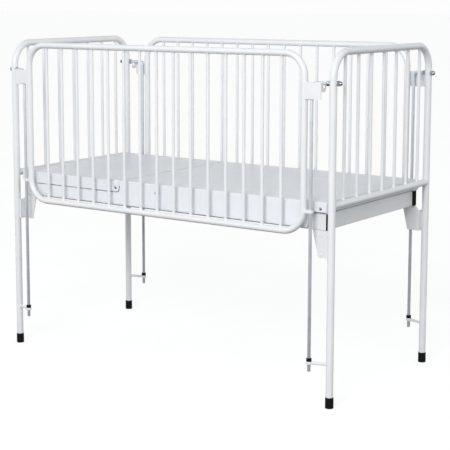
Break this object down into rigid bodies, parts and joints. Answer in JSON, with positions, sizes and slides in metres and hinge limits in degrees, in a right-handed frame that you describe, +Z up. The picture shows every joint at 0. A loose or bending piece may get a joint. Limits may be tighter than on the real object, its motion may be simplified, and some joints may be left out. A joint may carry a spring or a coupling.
{
  "type": "pediatric hospital cot",
  "caption": "White tubular hospital cot with barred end hoops, drop sides that slide on guide rods, and a sheet deck with a tilting backrest.",
  "frame": {"origin": "on the floor under the middle of the cot", "axes": "+X to the foot end, +Y to the rear side, +Z up; the head end with the tilting backrest is at -X and the pictured front side at -Y"},
  "size_m": [1.294, 0.6568, 1.049],
  "materials": {
    "white_coat": "semi-gloss white powder coat",
    "deck_coat": "satin light grey powder coat",
    "zinc_bar": "bright zinc-plated round bar",
    "zinc_fastener": "zinc-plated fastener",
    "black_rubber": "matt moulded rubber",
    "black_plastic": "fine-grained moulded plastic"
  },
  "bodies": {
    "frame": {"deck_tray": "deck_coat", "foot_cross_rail": "white_coat", "foot_deck_bearer": "white_coat", "foot_end_grille": "white_coat", "foot_end_hoop": "white_coat", "front_backrest_pivot": "zinc_fastener", "front_foot_cap_nut": "zinc_fastener", "front_foot_deck_screw": "zinc_fastener", "front_foot_guide_rod": "zinc_bar", "front_foot_leg_tip": "black_rubber", "front_foot_lock_nut": "zinc_fastener", "front_foot_post_socket": "white_coat", "front_foot_rail_hook": "white_coat", "front_foot_rail_plug": "black_plastic", "front_foot_rod_buffer": "black_rubber", "front_head_cap_nut": "zinc_fastener", "front_head_guide_rod": "zinc_bar", "front_head_leg_tip": "black_rubber", "front_head_lock_nut": "zinc_fastener", "front_head_post_socket": "white_coat", "front_head_rail_hook": "white_coat", "front_head_rail_plug": "black_plastic", "front_head_rod_buffer": "black_rubber", "front_middle_deck_screw": "zinc_fastener", "front_side_rail": "white_coat", "head_cross_rail": "white_coat", "head_deck_bearer": "white_coat", "head_end_grille": "white_coat", "head_end_hoop": "white_coat", "middle_deck_bearer": "white_coat", "rear_backrest_pivot": "zinc_fastener", "rear_foot_cap_nut": "zinc_fastener", "rear_foot_deck_screw": "zinc_fastener", "rear_foot_guide_rod": "zinc_bar", "rear_foot_leg_tip": "black_rubber", "rear_foot_lock_nut": "zinc_fastener", "rear_foot_post_socket": "white_coat", "rear_foot_rail_hook": "white_coat", "rear_foot_rail_plug": "black_plastic", "rear_foot_rod_buffer": "black_rubber", "rear_head_cap_nut": "zinc_fastener", "rear_head_guide_rod": "zinc_bar", "rear_head_leg_tip": "black_rubber", "rear_head_lock_nut": "zinc_fastener", "rear_head_post_socket": "white_coat", "rear_head_rail_hook": "white_coat", "rear_head_rail_plug": "black_plastic", "rear_head_rod_buffer": "black_rubber", "rear_middle_deck_screw": "zinc_fastener", "rear_side_rail": "white_coat", "stay_rest": "white_coat"},
    "front_side": {"front_drop_side": "white_coat", "front_head_upper_guide": "white_coat", "front_foot_upper_guide": "white_coat"},
    "rear_side": {"rear_drop_side": "white_coat", "rear_head_upper_guide": "white_coat", "rear_foot_upper_guide": "white_coat"},
    "backrest": {"backrest_panel": "deck_coat"},
    "stay": {"backrest_stay": "zinc_bar"}
  },
  "joints": [
    {"name": "front_side_slide", "type": "slide", "parent": "frame", "child": "front_side", "axis": [0, 0, 1], "range_m": [-0.428, 0.01]},
    {"name": "rear_side_slide", "type": "slide", "parent": "frame", "child": "rear_side", "axis": [0, 0, 1], "range_m": [-0.428, 0.01]},
    {"name": "backrest_tilt", "type": "hinge", "parent": "frame", "child": "backrest", "pos_m": [-0.185, 0, 0.583], "axis": [0, 1, 0], "range_deg": [0, 50]},
    {"name": "stay_swing", "type": "hinge", "parent": "backrest", "child": "stay", "pos_m": [-0.415, 0, 0.59], "axis": [0, 1, 0], "range_deg": [0, 15]}
  ],
  "couplings": [
    {"joint": "stay_swing", "follows": "backrest_tilt", "ratio": 0.3}
  ]
}
